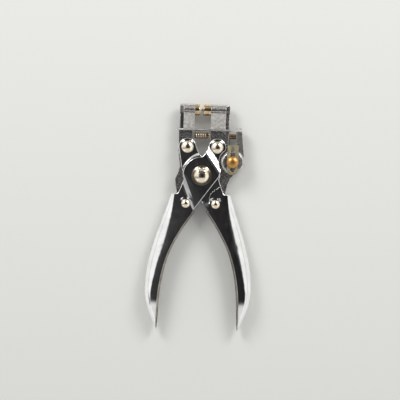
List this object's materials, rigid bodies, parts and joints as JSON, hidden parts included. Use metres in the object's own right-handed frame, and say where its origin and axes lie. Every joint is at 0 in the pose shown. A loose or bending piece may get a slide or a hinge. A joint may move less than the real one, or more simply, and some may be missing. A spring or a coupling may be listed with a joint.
{
  "type": "eyelet pliers",
  "caption": "Chromed parallel-jaw pliers with pressed handles, a punch beside one jaw, setting dies at the tips and an adjustable edge stop.",
  "frame": {"origin": "on the pivot's axis at the flat back head of the pivot rivet, on the plane that the pliers rest on", "axes": "+Z is the front face with the domed rivets, +Y runs from the pivot to the jaws, +X to the side of the punch arm"},
  "size_m": [0.0734, 0.1568, 0.0171],
  "materials": {
    "handle_chrome": "polished chrome plate",
    "jaw_casting": "satin nickel over a cast surface",
    "rivet_nickel": "polished nickel plate",
    "die_bronze": "turned bronze",
    "punch_steel": "tempered tool steel",
    "spring_steel": "drawn wire",
    "strap_nickel": "nickel plated strip",
    "stop_brass": "polished brass"
  },
  "bodies": {
    "left_handle": {"left_handle": "handle_chrome", "pivot_rivet": "rivet_nickel", "pivot_spacer": "rivet_nickel", "upper_right_rivet": "rivet_nickel", "lower_left_rivet": "rivet_nickel"},
    "right_handle": {"right_handle": "handle_chrome", "upper_left_rivet": "rivet_nickel", "lower_right_rivet": "rivet_nickel"},
    "left_jaw": {"left_jaw": "jaw_casting", "anvil_die": "die_bronze", "punch_rod": "punch_steel", "return_spring": "spring_steel", "guard_wire": "spring_steel"},
    "right_jaw": {"right_jaw": "jaw_casting", "setting_die": "die_bronze", "pilot_pin": "die_bronze", "punch_bush": "die_bronze", "edge_stop_rivet": "stop_brass", "edge_stop_washer": "rivet_nickel"},
    "spring_end": {"spring_washer": "spring_steel"},
    "edge_stop": {"edge_stop": "strap_nickel"}
  },
  "joints": [
    {"name": "handle_pivot", "type": "hinge", "parent": "left_handle", "child": "right_handle", "pos_m": [0, 0, 0], "axis": [0, 0, 1], "range_deg": [-6.2, 18], "stiffness_Nm_per_rad": 0.3},
    {"name": "right_jaw_pivot", "type": "hinge", "parent": "left_handle", "child": "right_jaw", "pos_m": [0.0103, 0.0196, 0], "axis": [0, 0, 1], "range_deg": [-3.2, 9.1]},
    {"name": "left_jaw_pivot", "type": "hinge", "parent": "right_handle", "child": "left_jaw", "pos_m": [-0.0103, 0.0196, 0], "axis": [0, 0, 1], "range_deg": [-9.1, 3.2]},
    {"name": "spring_travel", "type": "slide", "parent": "left_jaw", "child": "spring_end", "axis": [1, 0, 0], "range_m": [-0.0021, 0.006], "deforming": ["return_spring"]},
    {"name": "edge_stop_slide", "type": "slide", "parent": "right_jaw", "child": "edge_stop", "axis": [0, 1, 0], "range_m": [-0.0075, 0.005]}
  ],
  "couplings": [
    {"joint": "right_jaw_pivot", "follows": "handle_pivot", "ratio": 0.5},
    {"joint": "left_jaw_pivot", "follows": "handle_pivot", "ratio": -0.5},
    {"joint": "spring_travel", "follows": "handle_pivot", "m_per_rad": 0.0183}
  ]
}
